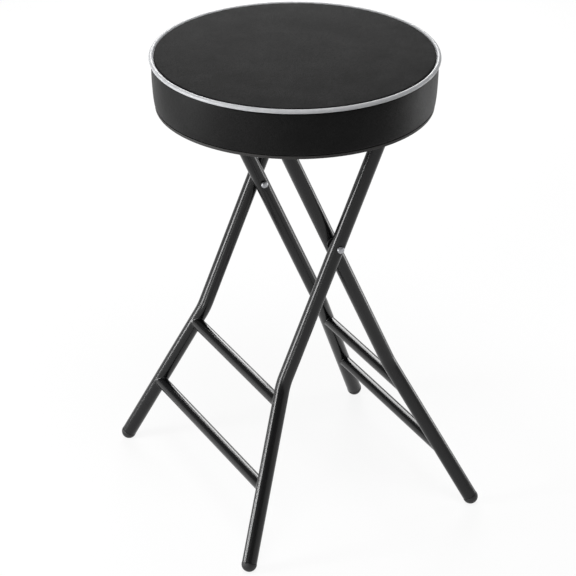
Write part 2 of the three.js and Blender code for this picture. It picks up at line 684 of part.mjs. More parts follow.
/** The wood screws that hold the rails, through the base panel and into the board. */
function railScrews(places, boardFoot) {
  const group = new THREE.Group();
  const seatFace = SEAT_UNDERSIDE - CLEARANCE - RAIL.sheet - CLEARANCE;
  const tip = boardFoot + SCREW.intoBoard;
  const outline = outlineOf([
    [0, seatFace - SCREW.headHeight],
    [SCREW.headRadius * SCREW.faceShare, seatFace - SCREW.headHeight],
    [SCREW.headRadius, seatFace - SCREW.headHeight * SCREW.edgeShare],
    [SCREW.headRadius, seatFace],
    [SCREW.radius, seatFace],
    [SCREW.radius, tip - 2 * SCREW.radius],
    [0, tip],
  ]);
  for (const [hand, side] of [["left", 1], ["right", -1]]) {
    for (const [place, x] of Object.entries(places.screwAt)) {
      const blades = [0, Math.PI / 2].map((turn) => {
        const blade = new THREE.BoxGeometry(SCREW.headRadius, SCREW.driveWidth, 2 * SCREW.drive);
        return blade.rotateZ(turn).translate(0, 0, seatFace - SCREW.headHeight);
      });
      const screw = cut(turned(outline, SCREW_SIDES), ...blades).translate(x, side * SCREW_ROW, 0);
      group.add(piece(`rail_screw_${hand}_${place}`, screw, FINISH.zinc));
    }
  }
  return group;
}

const outer = outerFrame();
const inner = innerFrame();
const places = railPlaces(outer.rod, inner.bar);
const upholstered = seat(places);

const stool = new THREE.Group();
stool.add(outer.frame.group, outer.feet, inner.frame.group, inner.feet);
stool.add(pivot("left", 1), pivot("right", -1), hinge(outer.rod));
stool.add(upholstered.group, rails(places, outer.rod, inner.bar));
stool.add(railScrews(places, upholstered.boardFoot));

// The inner feet reach past the seat's edge, so the middle of the stool lies in front of the seat's.
const toe = inner.frame.placed(inner.frame.at(1, inner.frame.footDrop)).x + FOOT.radius;
stool.position.x = (PIPING_RING_RADIUS + PIPING.radius - toe) / 2;

export default stool;
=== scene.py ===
"""A folding bar stool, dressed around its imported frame.

Lengths in the classes are millimetres and angles degrees, but for the lamps and the camera, which
are in metres. Meshes are written in metres in the frame's own axes: +Z up, the outer frame's feet
towards -X, the left side towards +Y.
"""
import logging
from dataclasses import dataclass, field
from enum import Enum
from math import asin, atan2, cos, degrees, exp, pi, radians, sin, sqrt, tan, tau

import bmesh
import bpy
from mathutils import Matrix, Quaternion, Vector


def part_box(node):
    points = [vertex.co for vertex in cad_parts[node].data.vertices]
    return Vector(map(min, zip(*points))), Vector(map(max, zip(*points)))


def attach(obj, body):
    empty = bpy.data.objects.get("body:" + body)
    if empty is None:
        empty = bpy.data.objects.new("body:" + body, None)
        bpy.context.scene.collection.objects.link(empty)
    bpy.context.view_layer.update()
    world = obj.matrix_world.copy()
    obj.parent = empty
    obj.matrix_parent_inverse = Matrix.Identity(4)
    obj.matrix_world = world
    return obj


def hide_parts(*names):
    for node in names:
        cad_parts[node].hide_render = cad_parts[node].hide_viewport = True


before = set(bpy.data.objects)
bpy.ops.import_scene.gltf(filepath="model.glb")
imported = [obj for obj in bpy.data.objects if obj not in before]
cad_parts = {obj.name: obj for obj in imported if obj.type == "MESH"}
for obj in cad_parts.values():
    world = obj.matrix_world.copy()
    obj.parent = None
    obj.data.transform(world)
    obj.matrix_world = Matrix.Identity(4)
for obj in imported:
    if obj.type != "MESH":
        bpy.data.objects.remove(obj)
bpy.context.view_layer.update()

MM = 0.001
TINY = 1e-6  # a length under this is none, in metres and in millimetres
UP = Vector((0, 0, 1))
ACROSS = Vector((0, 1, 0))
STOOL_X = -1.4191  # where the seat's middle and the rivets lie
SHARP_ANGLE = 38.0  # between two faces from which their edge is drawn sharp
log = logging.getLogger("stool")

Outline = list[tuple[float, float]]
Triple = tuple[float, float, float]
Node = bpy.types.Node
Socket = bpy.types.NodeSocket
Tree = bpy.types.NodeTree
Piece = bpy.types.Object
Shell = bmesh.types.BMesh


class Side(Enum):
    """A side of the stool, by the sign of Y."""

    LEFT = 1
    RIGHT = -1

    @property
    def hand(self) -> str:
        """The side's name as the CAD nodes have it."""
        return self.name.lower()


class Body(Enum):
    """The bodies that pieces ride on."""

    SEAT = "seat"
    OUTER = "outer_frame"
    INNER = "inner_frame"


class Slot(Enum):
    """The record's material slots."""

    FRAME = "frame_powder_coat"
    RAIL = "rail_powder_coat"
    ZINC = "zinc_steel"
    PLASTIC = "black_plastic"
    VINYL = "seat_vinyl"
    PIPING = "piping_vinyl"
    FOAM = "foam"
    PLYWOOD = "plywood"
    BOARD = "black_board"


# ---- nodes and colours


def add_node(tree: Tree, kind: str, inputs: dict | None = None, **settings: object) -> Node:
    """Adds one node with its settings and links.

    Args:
        tree: The node tree that it goes into.
        kind: Blender's name for the node type.
        inputs: What each input takes, by the input's name or number: a value, a socket, or a node
            for that node's first output.
        settings: The node's own properties.

    Returns:
        The new node.
    """
    node = tree.nodes.new(kind)
    for name, value in settings.items():
        setattr(node, name, value)
    for key, value in (inputs or {}).items():
        if isinstance(value, Node):
            value = value.outputs[0]
        if isinstance(value, Socket):
            tree.links.new(value, node.inputs[key])
        else:
            node.inputs[key].default_value = value
    return node


def blank_tree(owner: bpy.types.Material | bpy.types.World) -> Tree:
    """Empties a node tree.

    Args:
        owner: The material or the world that it belongs to.

    Returns:
        The tree.
    """
    owner.use_nodes = True
    owner.node_tree.nodes.clear()
    return owner.node_tree


def linear(code: str) -> tuple[float, float, float, float]:
    """Turns an sRGB hex colour to linear light.

    Args:
        code: Six hex digits, such as "1d1d1f".

    Returns:
        Red, green, blue and an alpha of 1.
    """
    parts = [int(code[i : i + 2], 16) / 255 for i in (0, 2, 4)]
    parts = [c / 12.92 if c <= 0.04045 else ((c + 0.055) / 1.055) ** 2.4 for c in parts]
    return (*parts, 1.0)


def per_metre(size: float) -> float:
    """A pattern's scale on Object coordinates, from the size of one repeat in millimetres."""
    return 1 / (size * MM)


# ---- finishes


@dataclass(frozen=True)
class Finish:
    """One finish: two colours, a range of roughness and a relief, spread by a pattern.

    The plain pattern has a fine noise for the height and a coarse one for the tone.
    """

    name: str
    slot: Slot
    low: str  # colour in the pattern's low places
    high: str  # colour on its high places
    smooth: float
    rough: float
    relief: float  # depth of the surface pattern
    ior: float = 1.5
    metallic: float = 0.0
    fine: float = 1.0  # one repeat of the fine noise
    fine_detail: float = 1.0
    coarse: float = 10.0  # one repeat of the coarse noise
    coarse_detail: float = 2.0

    def pattern(self, tree: Tree, place: Socket) -> tuple[Node, Node]:
        """Draws the pattern.

        Args:
            tree: The material's node tree.
            place: Object coordinates, in metres.

        Returns:
            The nodes whose first outputs are the tone and the height, each from 0 to 1.
        """
        coarse = {"Vector": place, "Scale": per_metre(self.coarse), "Detail": self.coarse_detail}
        fine = {"Vector": place, "Scale": per_metre(self.fine), "Detail": self.fine_detail}
        return add_node(tree, "ShaderNodeTexNoise", coarse), add_node(tree, "ShaderNodeTexNoise", fine)

    def tune(self, shader: Node) -> None:
        """Sets what only this finish has on its shader."""

    def material(self) -> bpy.types.Material:
        """The finish as a material, made once.

        Returns:
            The node material.
        """
        known = bpy.data.materials.get(self.name)
        if known:
            return known
        made = bpy.data.materials.new(self.name)
        tree = blank_tree(made)
        place = add_node(tree, "ShaderNodeTexCoord").outputs["Object"]
        tone, height = self.pattern(tree, place)
        colours = {0: tone, 6: linear(self.low), 7: linear(self.high)}
        colour = add_node(tree, "ShaderNodeMix", colours, data_type="RGBA").outputs[2]
        gloss = {"Value": tone, "To Min": self.rough, "To Max": self.smooth}
        bump = {"Height": height, "Distance": self.relief * MM, "Strength": 1.0}
        surface = {
            "Base Color": colour,
            "Roughness": add_node(tree, "ShaderNodeMapRange", gloss),
            "Normal": add_node(tree, "ShaderNodeBump", bump),
            "Metallic": self.metallic,
            "IOR": self.ior,
        }
        shader = add_node(tree, "ShaderNodeBsdfPrincipled", surface)
        self.tune(shader)
        add_node(tree, "ShaderNodeOutputMaterial", {"Surface": shader})
        return made


@dataclass(frozen=True)
class PowderCoat(Finish):
    """Mild steel under baked black powder: a closed semi-gloss skin with a faint orange peel, which
    softens the edges of its long highlights."""

    fine: float = 1.8  # orange peel, from wave to wave
    coarse: float = 45.0  # slow change of gloss along a tube
    coarse_detail: float = 3.0


@dataclass(frozen=True)
class MouldedPlastic(Finish):
    """Injection-moulded black polypropylene from a spark-eroded mould: an even matte skin with a fine
    grit, which the tone and the height share, so the colour is darker in its pits: painted shade."""

    fine: float = 0.5  # the real grit is about 0.1 and would not show
    fine_detail: float = 2.0
    coarse: float = 0.5


@dataclass(frozen=True)
class LeatherCloth(Finish):
    """Embossed PVC leathercloth drawn tight over foam: pebbles between fine creases, glossier on the
    pebbles' crowns, with painted shade darkening the creases, and a soft unevenness where the cloth
    is stretched."""

    pebble: float = 1.7  # across one pebble
    crease: float = 0.28  # distance from the crease, in pebbles, at which the crown is reached
    warp: float = 0.5  # how far the creases wander
    warp_pebbles: float = 3.0  # pebbles in one turn of their wandering
    warp_detail: float = 2.0
    coarse: float = 28.0  # soft unevenness where the cloth is stretched
    coarse_detail: float = 3.0
    nap: float = 0.04
    nap_roughness: float = 0.4

    def pattern(self, tree: Tree, place: Socket) -> tuple[Node, Node]:
        """Pebbles for the height; for the tone, pebbles with painted shade in their creases, and the
        coarse noise.

        Args:
            tree: The material's node tree.
            place: Object coordinates, in metres.

        Returns:
            The tone's node and the height's.
        """
        scale = per_metre(self.warp_pebbles * self.pebble)
        drift = {"Vector": place, "Scale": scale, "Detail": self.warp_detail}
        way = add_node(tree, "ShaderNodeTexNoise", drift).outputs["Color"]
        wander = {0: way, 1: (self.warp * MM,) * 3, 2: place}
        moved = add_node(tree, "ShaderNodeVectorMath", wander, operation="MULTIPLY_ADD")
        spread = {"Vector": moved, "Scale": per_metre(self.pebble)}
        cells = add_node(tree, "ShaderNodeTexVoronoi", spread, feature="DISTANCE_TO_EDGE")
        rise = {"Value": cells, "From Max": self.crease}
        crown = add_node(tree, "ShaderNodeMapRange", rise, interpolation_type="SMOOTHSTEP")
        uneven = {"Vector": place, "Scale": per_metre(self.coarse), "Detail": self.coarse_detail}
        cloud = add_node(tree, "ShaderNodeTexNoise", uneven)
        # The crown darkens the colour in the creases between pebbles: painted shade.
        return add_node(tree, "ShaderNodeMath", {0: crown, 1: cloud}, operation="MULTIPLY"), crown

    def tune(self, shader: Node) -> None:
        """The plasticiser gives the skin a faint nap at glancing angles."""
        shader.inputs["Sheen Weight"].default_value = self.nap
        shader.inputs["Sheen Roughness"].default_value = self.nap_roughness


@dataclass(frozen=True)
class SewnCord(Finish):
    """Silver-white PVC strip sewn round a cord: smooth and bright. Its shallow puckers, where the needle
    draws it in, are given only as patches of gloss and of lighter and darker colour, which is painted
    shade."""

    fine: float = 0.8  # unevenness of the skin
    # The lighter and darker patches a pucker apart are painted shade.
    coarse: float = 5.0  # from pucker to pucker


@dataclass(frozen=True)
class ZincPlate(Finish):
    """Turned steel under bright zinc: a light grey metal with fine tool marks and a milky bloom."""

    fine: float = 0.35  # from tool mark to tool mark
    coarse: float = 3.0  # cloudiness of the plating


@dataclass(frozen=True)
class Foam(Finish):
    """Cut block of polyurethane foam: matte and cream, open pores all over, darkened by painted shade."""

    pore: float = 1.2  # real pores are about 0.5

    def pattern(self, tree: Tree, place: Socket) -> tuple[Node, Node]:
        """Pores for both the tone and the height, so the pores are darkened by painted shade."""
        pores = add_node(tree, "ShaderNodeTexVoronoi", {"Vector": place, "Scale": per_metre(self.pore)})
        return pores, pores


@dataclass(frozen=True)
class Hardboard(Finish):
    """Black-lacquered hardboard: a dull face with the matted fibres showing through."""

    fibre: Triple = (9.0, 1.2, 1.2)  # length and width
    fibre_detail: float = 3.0
    matting: float = 1.5  # how much the fibres wind

    def pattern(self, tree: Tree, place: Socket) -> tuple[Node, Node]:
        """Fibres for both.

        Args:
            tree: The material's node tree.
            place: Object coordinates, in metres.

        Returns:
            The tone's node and the height's.
        """
        scale = tuple(per_metre(size) for size in self.fibre)
        drawn = add_node(tree, "ShaderNodeMapping", {"Vector": place, "Scale": scale})
        matted = {"Vector": drawn, "Scale": 1.0, "Detail": self.fibre_detail, "Distortion": self.matting}
        fibres = add_node(tree, "ShaderNodeTexNoise", matted)
        return fibres, fibres


@dataclass(frozen=True)
class Plywood(Hardboard):
    """Birch plywood, sanded and bare: long pale grain on its faces and dark glue lines at its edge."""

    fibre: Triple = (60.0, 3.0, 3.0)
    fibre_detail: float = 4.0
    matting: float = 0.0
    ply: float = 3.0  # a pair of plies

    def pattern(self, tree: Tree, place: Socket) -> tuple[Node, Node]:
        """Grain for the height, glue lines and grain for the tone.

        Args:
            tree: The material's node tree.
            place: Object coordinates, in metres.

        Returns:
            The tone's node and the height's.
        """
        grain, _ = super().pattern(tree, place)
        # A wave texture at scale 1 repeats every 2 pi / 20 of a unit.
        waves = {"Vector": place, "Scale": per_metre(self.ply) * tau / 20}
        plies = add_node(tree, "ShaderNodeTexWave", waves, bands_direction="Z").outputs["Fac"]
        return add_node(tree, "ShaderNodeMath", {0: grain, 1: plies}, operation="MULTIPLY"), grain


TUBE_COAT = PowderCoat(
    "black_powder_coat_on_tube", Slot.FRAME, "0a0a0b", "0f0f10",
    smooth=0.2, rough=0.27, relief=0.0012, ior=1.4,
)
RAIL_COAT = PowderCoat(
    "black_powder_coat_on_sheet", Slot.RAIL, "111112", "181819",
    smooth=0.3, rough=0.42, relief=0.02,
)
BLACK_PLASTIC = MouldedPlastic(
    "black_moulded_polypropylene", Slot.PLASTIC, "0d0d0e", "151516",
    smooth=0.48, rough=0.62, relief=0.03, ior=1.49,
)
# Same cloth as the band, but lighter colours: painted sheen of the light from above.
TOP_VINYL_WITH_PAINTED_SHEEN = LeatherCloth(
    "black_leathercloth_of_top", Slot.VINYL, "1e1e1e", "2e2e2e",
    smooth=0.7, rough=0.9, relief=0.06, ior=1.16,
)
BAND_VINYL = LeatherCloth(
    "black_leathercloth_of_band", Slot.VINYL, "0f0f0f", "1f1f1f",
    smooth=0.3, rough=0.46, relief=0.08, ior=1.15,
)
PIPING_VINYL = SewnCord(
    "silver_white_piping_vinyl", Slot.PIPING, "a3a4a7", "bdbec0",
    smooth=0.36, rough=0.52, relief=0.03, ior=1.45,
)
ZINC = ZincPlate(
    "bright_zinc_on_steel", Slot.ZINC, "8f9093", "b2b3b6",
    smooth=0.36, rough=0.5, relief=0.01, metallic=1.0,
)
CREAM_FOAM = Foam(
    "cream_polyurethane_foam", Slot.FOAM, "b5a66c", "e0d5a4",
    smooth=0.9, rough=1.0, relief=0.4, ior=1.45,
)
BIRCH_PLY = Plywood(
    "sanded_birch_plywood", Slot.PLYWOOD, "7d5a34", "c79e68",
    smooth=0.6, rough=0.8, relief=0.05,
)
BLACK_HARDBOARD = Hardboard(
    "black_lacquered_hardboard", Slot.BOARD, "0f0e0e", "211f1e",
    smooth=0.6, rough=0.8, relief=0.06,
)


# ---- meshes


def add_object(name: str, data: bpy.types.ID) -> Piece:
    """Puts an object into the scene.

    Args:
        name: Its name.
        data: Its mesh, light or camera.

    Returns:
        The object.
    """
    made = bpy.data.objects.new(name, data)
    bpy.context.scene.collection.objects.link(made)
    return made


def new_object(name: str, mesh: Shell, closed: bool = True) -> Piece:
    """Turns worked geometry into an object of the scene.

    Args:
        name: The piece's name.
        mesh: Its geometry in metres, which is freed.
        closed: Whether it is a closed shell, whose faces are then turned outwards.

    Returns:
        The object, smooth shaded but for its sharp edges.
    """
    bmesh.ops.remove_doubles(mesh, verts=mesh.verts, dist=TINY)
    if closed:
        bmesh.ops.recalc_face_normals(mesh, faces=mesh.faces)
    for face in mesh.faces:
        face.smooth = True
    data = bpy.data.meshes.new(name)
    mesh.to_mesh(data)
    mesh.free()
    data.set_sharp_from_angle(angle=radians(SHARP_ANGLE))
    return add_object(name, data)


def settle(piece: Piece) -> None:
    """Keeps what a piece's modifiers made as its own mesh, and removes them.

    Args:
        piece: The object.
    """
    graph = bpy.context.evaluated_depsgraph_get()
    mesh = bpy.data.meshes.new_from_object(piece.evaluated_get(graph))
    piece.modifiers.clear()
    spent = piece.data
    piece.data = mesh
    mesh.name = spent.name
    bpy.data.meshes.remove(spent)


def span(node: str) -> tuple[Vector, float]:
    """A CAD node's middle, and half its width across the stool, in mm."""
    low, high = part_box(node)
    return (low + high) / 2 / MM, (high.y - low.y) / 2 / MM


def arc(
    centre: tuple[float, float], radius: float, start: float, end: float, steps: int, squash: float = 1
) -> Outline:
    """Points along an arc, one more than its steps. Squash is its height over a round arc's."""
    turns = [radians(start + (end - start) * i / steps) for i in range(steps + 1)]
    return [(centre[0] + radius * cos(t), centre[1] + radius * squash * sin(t)) for t in turns]


def circle(radius: float, height: float, sides: int) -> list[Vector]:
    """Points round the Z axis at a height, or one point on it where the radius is none, in mm."""
    turns = [tau * i / sides for i in range(sides if radius > TINY else 1)]
    return [Vector((radius * cos(t), radius * sin(t), height)) for t in turns]


def join_rings(mesh: Shell, rings: list[list[Vector]], closed: bool = False) -> None:
    """Joins rings of points with faces, which look outwards where the rings go up.

    Args:
        mesh: Takes the faces.
        rings: The points of each ring, mm. A ring of one point is a pole.
        closed: Whether the last ring joins the first.
    """
    made = [[mesh.verts.new(place * MM) for place in ring] for ring in rings]
    if closed:
        made.append(made[0])
    for below, above in zip(made, made[1:]):
        sides = max(len(below), len(above))
        for i in range(sides):
            j = (i + 1) % sides
            corners = [below[i % len(below)], below[j % len(below)]]
            corners += [above[j % len(above)], above[i % len(above)]]
            corners = [c for n, c in enumerate(corners) if c not in corners[:n]]
            if len(corners) > 2:
                mesh.faces.new(corners)


def turned(name: str, outline: Outline, sides: int, foot: Vector, axis: Vector = UP) -> Piece:
    """A body turned on an axis.

    Args:
        name: The piece's name.
        outline: Radius and height of each point, mm. It is closed on itself, or ends on the axis.
        sides: How many steps go round.
        foot: Where its height is zero, mm.
        axis: The way that its height runs.

    Returns:
        The object.
    """
    mesh = bmesh.new()
    turn = UP.rotation_difference(axis).to_matrix()
    rings = [[turn @ point + foot for point in circle(r, h, sides)] for r, h in outline]
    join_rings(mesh, rings, closed=outline[0][0] > TINY)
    return new_object(name, mesh)


def flat_ring(node: str, bore: float, radius: float, edge: float, sides: int) -> Piece:
    """A flat ring that lies across the stool.

    Args:
        node: The CAD node whose place it takes.
        bore: The radius of its hole, mm.
        radius: Its radius, mm.
        edge: How much its outer edges are eased, mm.
        sides: How many steps go round.

    Returns:
        The object.
    """
    centre, half = span(node)
    upper = [(radius, half - edge), (radius - edge, half), (bore, half)]
    outline = [(r, -h) for r, h in reversed(upper)] + upper
    return turned(node + "_ring", outline, sides, centre, ACROSS)


def geometry_tree(name: str, inputs: dict[str, str]) -> tuple[Tree, bpy.types.NodeOutputs]:
    """An empty geometry node tree with its inputs.

    Args:
        name: The tree's name.
        inputs: The kind of each input, such as Float, by the input's name.

    Returns:
        The tree, and the sockets that give the inputs by name.
    """
    tree = bpy.data.node_groups.new(name, "GeometryNodeTree")
    tree.interface.new_socket(name="Geometry", in_out="OUTPUT", socket_type="NodeSocketGeometry")
    for label, kind in inputs.items():
        tree.interface.new_socket(name=label, in_out="INPUT", socket_type="NodeSocket" + kind)
    return tree, tree.nodes.new("NodeGroupInput").outputs


def close_tree(tree: Tree, made: Node, material: Socket) -> None:
    """Ends a geometry node tree with real, finished geometry.

    Args:
        tree: The tree.
        made: The node that gives the geometry.
        material: The material input.
    """
    smooth = add_node(tree, "GeometryNodeSetShadeSmooth", {"Geometry": made})
    real = add_node(tree, "GeometryNodeRealizeInstances", {"Geometry": smooth})
    dressed = add_node(tree, "GeometryNodeSetMaterial", {"Geometry": real, "Material": material})
    add_node(tree, "NodeGroupOutput", {"Geometry": dressed})


def run_tree(piece: Piece, tree: Tree, values: dict[str, object]) -> None:
    """Runs a geometry node tree on an object and keeps the result as its mesh.

    Args:
        piece: The object, whose mesh is the tree's first input.
        tree: The tree.
        values: Its other inputs, by name.
    """
    modifier = piece.modifiers.new(tree.name, "NODES")
    modifier.node_group = tree
    for item in tree.interface.items_tree:
        if item.in_out == "INPUT" and item.name in values:
            modifier[item.identifier] = values[item.name]
    settle(piece)


class SubAssembly:
    """A group of pieces that ride on one body."""

    body: Body

    def coat(self, piece: Piece, finish: Finish) -> None:
        """Gives a piece its finish.

        Args:
            piece: The piece.
            finish: Its finish.
        """
        piece.data.materials.clear()
        piece.data.materials.append(finish.material())

    def fit(self, piece: Piece, finish: Finish, *nodes: str) -> None:
        """Dresses a piece, lets it ride and hides the CAD nodes that it stands for.

        Args:
            piece: The finished mesh.
            finish: Its finish.
            nodes: The CAD nodes.
        """
        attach(piece, self.body.value)
        self.coat(piece, finish)
        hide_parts(*nodes)
        log.info("%s: %d faces on %s", piece.name, len(piece.data.polygons), self.body.value)

    def dress(self, finish: Finish, *nodes: str) -> None:
        """Gives CAD nodes that stay a finish.

        Args:
            finish: The finish.
            nodes: The CAD nodes.
        """
        for name in nodes:
            self.coat(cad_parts[name], finish)
            log.info("%s keeps its own mesh, in %s", name, finish.name)


# ---- frames


@dataclass
class CrossedFrame(SubAssembly):
    """One frame of two bent legs with the bars between them, their plugs and their feet."""

    body: Body
    label: str
    lean: float  # of the legs above the bend, seen from the side
    half_width: float
    bend_drop: float  # from the pivot down to the bend, along the leg
    bar_height: float  # of the rod or rest bar near the top
    edge: float  # of leg past that bar
    bar_radius: float
    bar_shares: dict[str, float]  # of the way from the bend down to the foot
    rest_bar_radius: float = 0.0
    pivot: Vector = field(default_factory=lambda: Vector((STOOL_X, 0, 385)))
    lower_lean: float = -1.0
    splay: float = 18.0
    bend_radius: float = 60.0
    bend_steps: int = 14
    tube_radius: float = 9.5
    foot_radius: float = 9.7
    foot_flat: float = 0.5
    foot_rim: float = 1.5
    foot_edge: float = 0.5  # how much the rim's upper edge is eased
    foot_edge_middle: float = 0.15
    dome_steps: int = 16
    plug_head: float = 1.4
    plug_gap: float = 0.05  # between a top plug and its tube
    plug_steps: int = 6
    clearance: float = 0.3
    weld: float = 1.1  # leg length of the weld fillet
    weld_sink: float = 0.5  # how deep the bar ends in the leg's wall
    weld_steps: int = 4
    weld_rings: tuple[int, ...] = (3, 5, 8)  # plain rings behind the weld, in weld legs
    ripples: int = 7
    ripple: float = 0.12  # share of the weld that its beads swell
    dimple: float = 0.9  # how deep the rivet's head beds into the tube
    dimple_length: float = 11.0
    dimple_cuts: int = 8
    dimple_power: int = 4  # how flat its bottom is
    dimple_sharp_angle: float = 50.0
    cut_merge: float = 1e-7  # in metres
    sides: int = 48

    def __post_init__(self) -> None:
        """Works out where the legs start and end."""
        self.turn = Matrix.Rotation(radians(self.lean), 3, "Y")
        slope = cos(radians(self.lean))
        self.bar_drop = (self.pivot.z - self.bar_height) / slope
        self.top_drop = self.bar_drop - self.edge
        below = self.pivot.z - self.bend_drop * slope - (self.foot_radius - self.foot_flat)
        self.foot_drop = self.bend_drop + below / cos(radians(self.lean + self.lower_lean))

    def lower_way(self, side: Side) -> Vector:
        """The way that a leg runs below its bend, one unit of drop long, before the frame leans."""
        lean, splay = radians(self.lower_lean), radians(self.splay)
        return Vector((-sin(lean), side.value * tan(splay), -cos(lean)))

    def at(self, side: Side, drop: float) -> Vector:
        """The leg's centre line at a drop below the pivot, mm.

        Args:
            side: Which leg.
            drop: How far down the leg.

        Returns:
            The point in the stool's frame.
        """
        below = max(drop - self.bend_drop, 0)
        local = Vector((0, side.value * self.half_width, below - drop)) + self.lower_way(side) * below
        return self.turn @ local + self.pivot

    def foot_way(self, side: Side) -> Vector:
        """The way that a foot points, in the stool's frame."""
        return (self.turn @ self.lower_way(side)).normalized()

    def build(self) -> None:
        """Makes and dresses every piece of the frame."""
        tree = self.tube_tree()
        for side in Side:
            self.leg(side, tree)
            self.foot(side)
            self.top_plug(side)
        for place, share in self.bar_shares.items():
            drop = self.bend_drop + share * (self.foot_drop - self.bend_drop)
            self.crossbar(f"{self.label}_crossbar_{place}", drop, self.bar_radius)
        if self.rest_bar_radius:
            self.crossbar(f"{self.label}_rest_bar", self.bar_drop, self.rest_bar_radius)

    def tube_tree(self) -> Tree:
        """The node tree that bends a tube along a line of corners.

        Returns:
            The tree, made once for both frames.
        """
        known = bpy.data.node_groups.get("bent_tube")
        if known:
            return known
        inputs = {"Corners": "Geometry", "Radius": "Float", "Bend Radius": "Float"}
        inputs |= {"Bend Steps": "Int", "Sides": "Int", "Finish": "Material"}
        tree, given = geometry_tree("bent_tube", inputs)
        line = add_node(tree, "GeometryNodeMeshToCurve", {"Mesh": given["Corners"]})
        bends = {"Curve": line, "Count": given["Bend Steps"], "Radius": given["Bend Radius"]}
        bent = add_node(tree, "GeometryNodeFilletCurve", bends, mode="POLY")
        sizes = {"Resolution": given["Sides"], "Radius": given["Radius"]}
        ring = add_node(tree, "GeometryNodeCurvePrimitiveCircle", sizes)
        walls = {"Curve": bent, "Profile Curve": ring, "Fill Caps": True}
        close_tree(tree, add_node(tree, "GeometryNodeCurveToMesh", walls), given["Finish"])
        return tree

    def leg(self, side: Side, tree: Tree) -> None:
        """A bent leg tube, with a dimple where the rivet's head beds.

        Args:
            side: Which leg.
            tree: The bent tube's node tree.
        """
        name = f"{self.label}_leg_{side.hand}"
        end = self.at(side, self.foot_drop) - self.foot_way(side) * (self.foot_rim + self.clearance)
        corners = [self.at(side, self.top_drop), self.at(side, self.bend_drop), end]
        line = bpy.data.meshes.new(name + "_tube")
        line.from_pydata([c * MM for c in corners], [(0, 1), (1, 2)], [])
        piece = add_object(name + "_tube", line)
        values = {"Radius": self.tube_radius * MM, "Bend Radius": self.bend_radius * MM}
        values |= {"Bend Steps": self.bend_steps, "Sides": self.sides, "Finish": TUBE_COAT.material()}
        run_tree(piece, tree, values)
        self.bed_rivet(piece, side)
        self.fit(piece, TUBE_COAT, name)

    def bed_rivet(self, piece: Piece, side: Side) -> None:
        """Presses the tube in a little where the rivet's head sits.

        Args:
            piece: The leg.
            side: Which leg.
        """
        outwards = side.value if self.body == Body.OUTER else -side.value
        mesh = bmesh.new()
        mesh.from_mesh(piece.data)
        run = self.turn @ -UP
        for i in range(-self.dimple_cuts, self.dimple_cuts + 1):
            place = self.pivot + run * (self.dimple_length * i / self.dimple_cuts)
            place.y = side.value * self.half_width
            geometry = [*mesh.verts, *mesh.edges, *mesh.faces]
            bmesh.ops.bisect_plane(
                mesh, geom=geometry, plane_co=place * MM, plane_no=run, dist=self.cut_merge
            )
        for vert in mesh.verts:
            along = abs((vert.co / MM - self.pivot).dot(run)) / self.dimple_length
            if along >= 1:
                continue
            depth = self.dimple * (1 - along**self.dimple_power)
            limit = side.value * self.half_width + outwards * (self.tube_radius - depth)
            if (vert.co.y / MM - limit) * outwards > 0:
                vert.co.y = limit * MM
        bmesh.ops.recalc_face_normals(mesh, faces=mesh.faces)
        mesh.to_mesh(piece.data)
        mesh.free()
        piece.data.set_sharp_from_angle(angle=radians(self.dimple_sharp_angle))

    def crossbar(self, name: str, drop: float, radius: float) -> None:
        """A round bar between the legs, shaped to their tubes, with its weld.

        Args:
            name: The CAD node that it stands for.
            drop: How far below the pivot it is.
            radius: Its radius, mm.
        """
        centre = self.at(Side.LEFT, drop)
        centre.y = 0
        profile = self.weld_profile()
        rings = [
            self.cope(centre, drop, radius, side, grow, back)
            for side, steps in ((Side.RIGHT, profile), (Side.LEFT, profile[::-1]))
            for grow, back in steps
        ]
        first, last = ([sum(ring, Vector()) / len(ring)] for ring in (rings[0], rings[-1]))
        mesh = bmesh.new()
        join_rings(mesh, [first, *rings, last])
        self.fit(new_object(name + "_welded", mesh), TUBE_COAT, name)

    def weld_profile(self) -> Outline:
        """The weld fillet from the leg inwards: how much wider than the bar, and how far from the leg."""
        fillet = arc((self.weld, self.weld), self.weld, 270, 180, self.weld_steps)
        return [(0.0, -self.weld_sink), *fillet, *((0.0, n * self.weld) for n in self.weld_rings)]

    def cope(
        self, centre: Vector, drop: float, radius: float, side: Side, grow: float, back: float
    ) -> list[Vector]:
        """A ring of the bar, as far from the leg's surface all round.

        Args:
            centre: The bar's middle, mm.
            drop: Its drop.
            radius: Its radius.
            side: Which leg it goes to.
            grow: How much wider the ring is than the bar.
            back: How far it stays from the leg.

        Returns:
            The ring's points.
        """
        axis = self.at(side, drop)
        way = self.foot_way(side) if drop > self.bend_drop else self.turn @ -UP
        run = ACROSS * side.value
        points = []
        for i in range(self.sides):
            angle = tau * i / self.sides
            reach = radius + grow * (1 + self.ripple * sin(self.ripples * angle))
            start = centre + Vector((cos(angle), 0, sin(angle))) * reach
            # The line start + t*run meets the tube where its distance from the tube's axis is the radius.
            across = run - way * run.dot(way)
            offset = (start - axis) - way * (start - axis).dot(way)
            a, b = across.dot(across), 2 * across.dot(offset)
            c = offset.dot(offset) - self.tube_radius**2
            root = (-b - sqrt(max(b * b - 4 * a * c, 0))) / (2 * a)
            points.append(start + run * (root - back))
        return points

    def foot(self, side: Side) -> None:
        """A domed foot plug, flat where it stands.

        Args:
            side: Which leg.
        """
        name = f"{self.label}_foot_{side.hand}"
        radius, rim, eased = self.foot_radius, self.foot_rim, self.foot_edge_middle
        outline = [(0, -rim), (radius - self.foot_edge, -rim), (radius - eased, eased - rim)]
        outline += [(radius, self.foot_edge - rim)]
        outline += arc((0, 0), radius, 0, 90, self.dome_steps)[:-1] + [(0, radius)]
        place = self.at(side, self.foot_drop)
        piece = turned(name + "_plug", outline, self.sides, place, self.foot_way(side))
        for vert in piece.data.vertices:
            vert.co.z = max(vert.co.z, 0)
        self.fit(piece, BLACK_PLASTIC, name)

